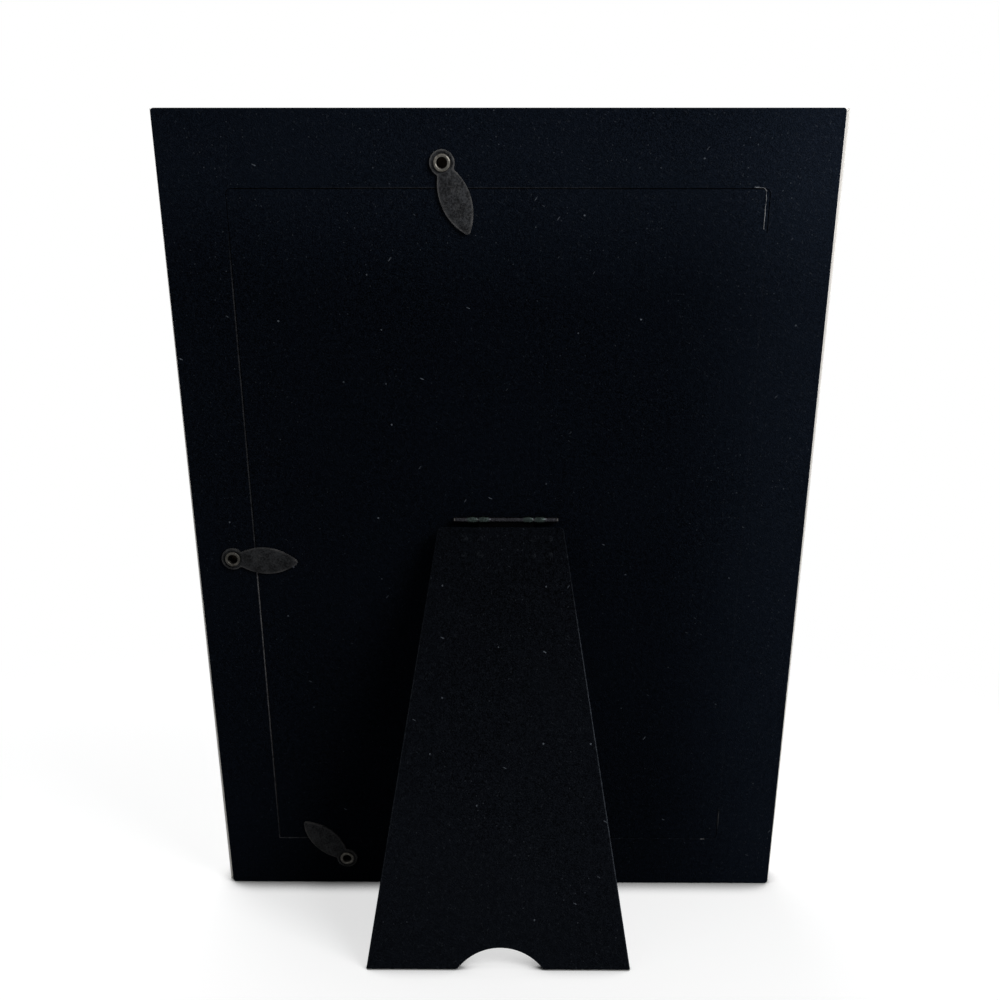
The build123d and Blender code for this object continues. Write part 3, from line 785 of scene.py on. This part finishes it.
class PICTURE_FRAME_OT_pocket(Operator):
    """Finish what lies in the pocket: glass, bare insert and filler card"""
    bl_idname = "picture_frame.pocket"
    bl_label = "Glass and insert"

    def execute(self, context):
        colours = context.scene.frame_colours
        dress(picture_glass(colours.glass), "glass_pane")
        sheet = bare_insert(context.scene.frame_details, paper("insert_paper", colours.insert))
        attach(sheet, "frame")
        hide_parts("photo_insert")
        dress(paper("filler_board", colours.filler), "filler_card")
        return {"FINISHED"}


class PICTURE_FRAME_OT_back(Operator):
    """Finish the back board and its door, cover them with flock and fray the slit's end"""
    bl_idname = "picture_frame.back"
    bl_label = "Flocked back"

    def execute(self, context):
        colours = context.scene.frame_colours
        dress(stained_board(colours.stain, colours.board), "rim_board", "door_board", "leg_board")
        dress(back_flock(colours), "back_flock")
        edge = raw_slit_edge(context.scene.frame_details, paper("cover_core", colours.core))
        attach(edge, "frame")
        return {"FINISHED"}


class PICTURE_FRAME_OT_leg(Operator):
    """Cover the leg with flock, line it and raise the bumps over the hinge's prongs"""
    bl_idname = "picture_frame.leg"
    bl_label = "Leg"

    def execute(self, context):
        colours = context.scene.frame_colours
        dress(leg_flock("leg_flock", colours), "leg_flock")
        dress(paper("black_paper", colours.lining), "leg_lining")
        bumps = prong_bumps(context.scene.frame_details, leg_flock("rubbed_flock", colours, 0.5))
        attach(bumps, "leg")
        return {"FINISHED"}


class PICTURE_FRAME_OT_hardware(Operator):
    """Finish the turn buttons and the hinge, and roll the eyelets"""
    bl_idname = "picture_frame.hardware"
    bl_label = "Buttons and hinge"

    def execute(self, context):
        colours = context.scene.frame_colours
        for name in BUTTONS:
            dress(button_steel(name, colours.steel, colours.worn), "turn_button_" + name)
        dress(hinge_steel(colours.hinge, colours.swell), "hinge_door_leaf", "hinge_leg_leaf")
        dress(dulled_metal("pin_steel", colours.pin), "hinge_pin")
        eyelets = rolled_eyelets(
            context.scene.frame_details, dulled_metal("dull_brass", colours.eyelet, EYELET_ROLL))
        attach(eyelets, "frame")
        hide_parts(*("eyelet_" + name for name in BUTTONS))
        return {"FINISHED"}


class PICTURE_FRAME_OT_stage(Operator):
    """Set the floor, the backdrop, the lamps and the camera"""
    bl_idname = "picture_frame.stage"
    bl_label = "Stage"

    def execute(self, context):
        stage = context.scene.frame_stage
        context.scene.view_settings.view_transform = "Standard"
        self.lay_floor(context.scene, stage)
        self.light_sky(context.scene, stage)
        for name, (place, side) in LAMPS.items():
            watts = getattr(stage, name + "_power")
            self.hang_lamp(context.scene, name + "_lamp", place, side, watts)
        self.place_camera(context.scene, stage)
        return {"FINISHED"}

    def lay_floor(self, scene, stage):
        mesh = bpy.data.meshes.new("floor")
        corners = ((-1, -1), (1, -1), (1, 1), (-1, 1))
        mesh.from_pydata(
            [(x * FLOOR_REACH, y * FLOOR_REACH, 0) for x, y in corners], [], [(0, 1, 2, 3)])
        floor = bpy.data.objects.new("floor", mesh)
        scene.collection.objects.link(floor)
        finish = Finish("pale_floor")
        place = finish.node("ShaderNodeTexCoord", output=3)
        away = finish.node("ShaderNodeVectorMath", {"operation": "LENGTH"}, {0: place}, 1)
        matt = finish.node("ShaderNodeBsdfDiffuse", None, {0: shade(stage.floor)})
        open_sky = finish.node("ShaderNodeAmbientOcclusion", None, {"Distance": CONTACT_REACH}, 1)
        glow = finish.node("ShaderNodeEmission", None, {
            1: open_sky.ramp(0.3, 0.8, 0.0, stage.floor_glow)})
        near = finish.node("ShaderNodeAddShader", None, {0: matt, 1: glow})
        white = finish.node("ShaderNodeEmission", None, {1: 1.0})
        seen = finish.node("ShaderNodeMixShader", None, {
            0: away.ramp(FADE_START, FADE_END), 1: near, 2: white})
        shader = finish.node("ShaderNodeMixShader", None, {
            0: finish.backdrop_rays(), 1: matt, 2: seen})
        mesh.materials.append(finish.output(shader))

    def light_sky(self, scene, stage):
        world = bpy.data.worlds.new("studio")
        world.use_nodes = True
        scene.world = world
        air = NodeTree(world.node_tree)
        soft = air.node("ShaderNodeBackground", None, {0: SKY_TONE, 1: stage.sky})
        white = air.node("ShaderNodeBackground", None, {0: WHITE, 1: 1.0})
        sky = air.node("ShaderNodeMixShader", None, {0: air.backdrop_rays(), 1: soft, 2: white})
        air.node("ShaderNodeOutputWorld", None, {"Surface": sky})

    def hang_lamp(self, scene, name, place, side, watts):
        lamp = bpy.data.lights.new(name, "AREA")
        lamp.size = side
        lamp.energy = watts
        holder = bpy.data.objects.new(name, lamp)
        holder.location = place
        aim = LAMP_AIM - holder.location
        holder.rotation_euler = aim.to_track_quat("-Z", "Y").to_euler()
        scene.collection.objects.link(holder)

    def place_camera(self, scene, stage):
        camera = bpy.data.cameras.new("photo_camera")
        camera.lens = stage.lens
        camera.sensor_width = SENSOR_WIDTH
        camera.shift_y = stage.rise
        camera.clip_start = CLIP_START
        camera.clip_end = CLIP_END
        holder = bpy.data.objects.new("photo_camera", camera)
        turn = (Matrix.Rotation(math.pi + stage.yaw, 4, "Z")
                @ Matrix.Rotation(math.pi / 2 - stage.pitch, 4, "X")
                @ Matrix.Rotation(-stage.roll, 4, "Z"))
        holder.matrix_world = Matrix.Translation(stage.eye) @ turn
        scene.collection.objects.link(holder)
        scene.camera = holder


class PICTURE_FRAME_PT_sidebar(Panel):
    """Steps, colours, sizes and stage of the picture frame"""
    bl_idname = "PICTURE_FRAME_PT_sidebar"
    bl_label = "Picture frame"
    bl_space_type = "VIEW_3D"
    bl_region_type = "UI"
    bl_category = "Picture frame"

    def draw(self, context):
        scene = context.scene
        for step in STEPS:
            self.layout.operator(step.bl_idname)
        for group in (scene.frame_colours, scene.frame_details, scene.frame_stage):
            for name in group.__annotations__:
                self.layout.prop(group, name)


STEPS = (
    PICTURE_FRAME_OT_moulding, PICTURE_FRAME_OT_pocket, PICTURE_FRAME_OT_back,
    PICTURE_FRAME_OT_leg, PICTURE_FRAME_OT_hardware, PICTURE_FRAME_OT_stage)
CLASSES = (FrameColours, DetailSizes, StageSettings, *STEPS, PICTURE_FRAME_PT_sidebar)


def register():
    for cls in CLASSES:
        bpy.utils.register_class(cls)
    bpy.types.Scene.frame_colours = PointerProperty(type=FrameColours)
    bpy.types.Scene.frame_details = PointerProperty(type=DetailSizes)
    bpy.types.Scene.frame_stage = PointerProperty(type=StageSettings)


def unregister():
    del bpy.types.Scene.frame_stage
    del bpy.types.Scene.frame_details
    del bpy.types.Scene.frame_colours
    for cls in reversed(CLASSES):
        bpy.utils.unregister_class(cls)


def main():
    register()
    for step in STEPS:
        family, name = step.bl_idname.split(".")
        getattr(getattr(bpy.ops, family), name)()


if __name__ == "__main__":
    main()
